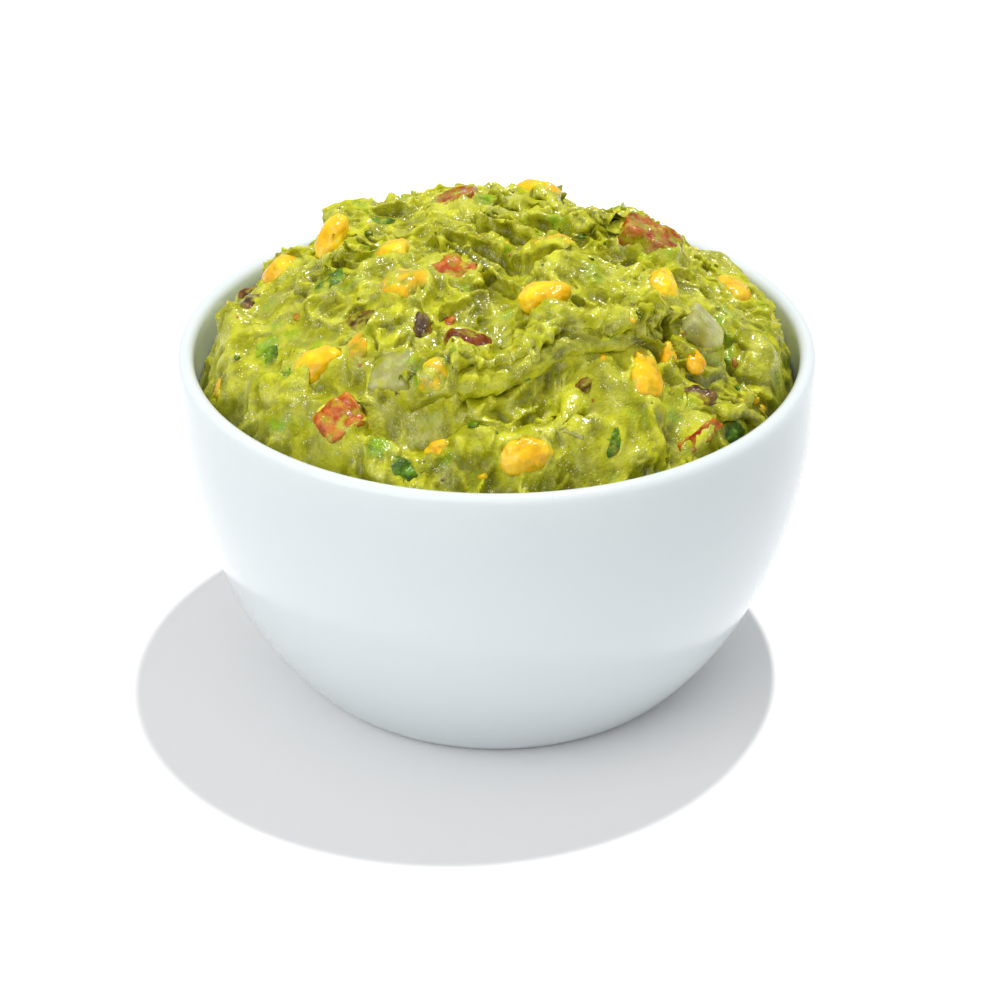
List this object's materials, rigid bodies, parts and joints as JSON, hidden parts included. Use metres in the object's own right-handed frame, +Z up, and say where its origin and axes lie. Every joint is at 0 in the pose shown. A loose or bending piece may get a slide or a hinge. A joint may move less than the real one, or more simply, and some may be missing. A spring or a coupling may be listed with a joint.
{
  "type": "bowl of chunky guacamole",
  "caption": "Deep round white porcelain bowl heaped with chunky mashed avocado, studded with roasted corn, diced tomato and onion, pepper and herb leaves.",
  "frame": {"origin": "middle of the bowl's foot, on the surface it stands on", "axes": "+Z up along the bowl's axis; -Y is the front, the side shown in the picture"},
  "size_m": [0.15, 0.15, 0.1148],
  "materials": {
    "porcelain": "white glossy glaze",
    "guacamole": "wet, coarse mash with smooth smears",
    "corn": "plump moist skin",
    "tomato": "wet cut flesh",
    "onion": "translucent, moist",
    "pepper": "roasted skin, charred in spots",
    "leaf": "fresh herb leaf"
  },
  "bodies": {
    "root": {"bowl": "porcelain", "corn_left_bright": "corn", "corn_left_edge": "corn", "corn_upper_left": "corn", "corn_pale": "corn", "corn_middle_bright": "corn", "corn_left_bright_low": "corn", "corn_sunk": "corn", "corn_right_golden": "corn", "corn_front": "corn", "corn_top": "corn", "corn_upper_middle": "corn", "corn_upper_right": "corn", "corn_right_edge": "corn", "corn_in_fold": "corn", "tomato_front_left": "tomato", "tomato_upper_middle": "tomato", "tomato_top": "tomato", "tomato_right": "tomato", "tomato_dark": "tomato", "tomato_strip": "tomato", "onion_left": "onion", "onion_right": "onion", "onion_front": "onion", "pepper_charred": "pepper", "pepper_curled": "pepper", "pepper_right": "pepper", "pepper_left_edge": "pepper", "leaf_upper_left": "leaf", "leaf_left": "leaf", "leaf_front_left": "leaf", "leaf_front_right": "leaf", "leaf_right": "leaf", "leaf_crown": "leaf", "corn_back_1": "corn", "tomato_back_2": "tomato", "corn_back_3": "corn", "pepper_back_4": "pepper", "corn_back_5": "corn", "onion_back_6": "onion", "corn_back_7": "corn", "leaf_back_8": "leaf", "tomato_back_9": "tomato", "leaf_back_10": "leaf", "corn_back_11": "corn", "guacamole": "guacamole"}
  },
  "joints": []
}
